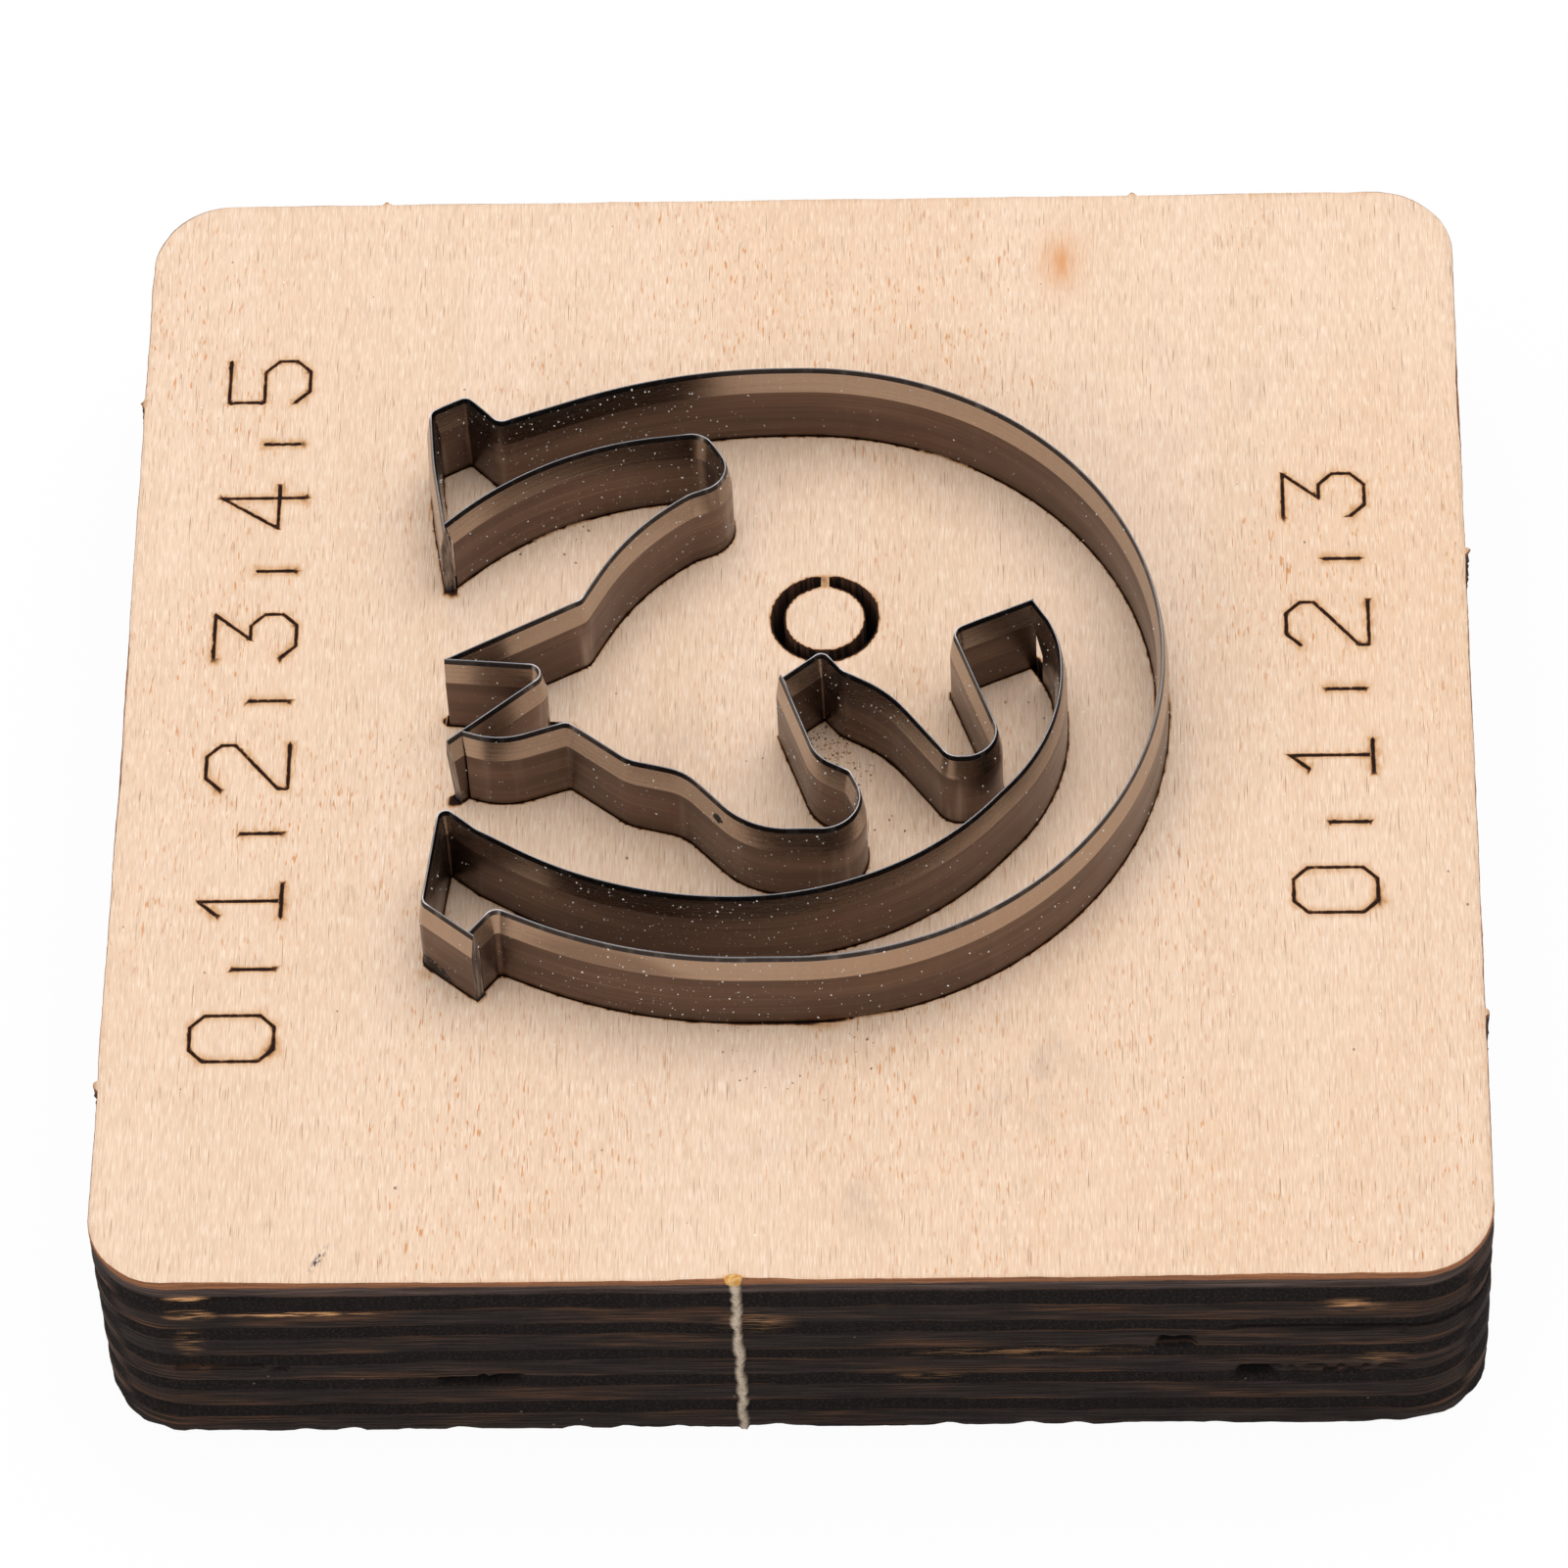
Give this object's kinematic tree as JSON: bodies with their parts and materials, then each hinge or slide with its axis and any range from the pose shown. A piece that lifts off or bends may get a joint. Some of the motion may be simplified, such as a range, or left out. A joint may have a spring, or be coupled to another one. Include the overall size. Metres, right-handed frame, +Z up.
{
  "type": "steel rule die",
  "caption": "Square plywood cutting die with bevelled steel rules, bent and set on edge in laser-cut slots, to stamp a horseshoe with a horse's head.",
  "frame": {"origin": "centre of the board's underside", "axes": "+Z up to the cutting edges, +X to the right and +Y to the back of the board as pictured"},
  "size_m": [0.0826, 0.0826, 0.022],
  "materials": {
    "plywood": "sanded birch face, laser-burnt edges",
    "rule_steel": "dark mill finish, ground bevels"
  },
  "bodies": {
    "root": {"die_board": "plywood", "outer_shoe_rule": "rule_steel", "neck_rule": "rule_steel", "ear_rule": "rule_steel", "face_rule": "rule_steel", "throat_rule": "rule_steel", "inner_shoe_rule": "rule_steel"}
  },
  "joints": []
}
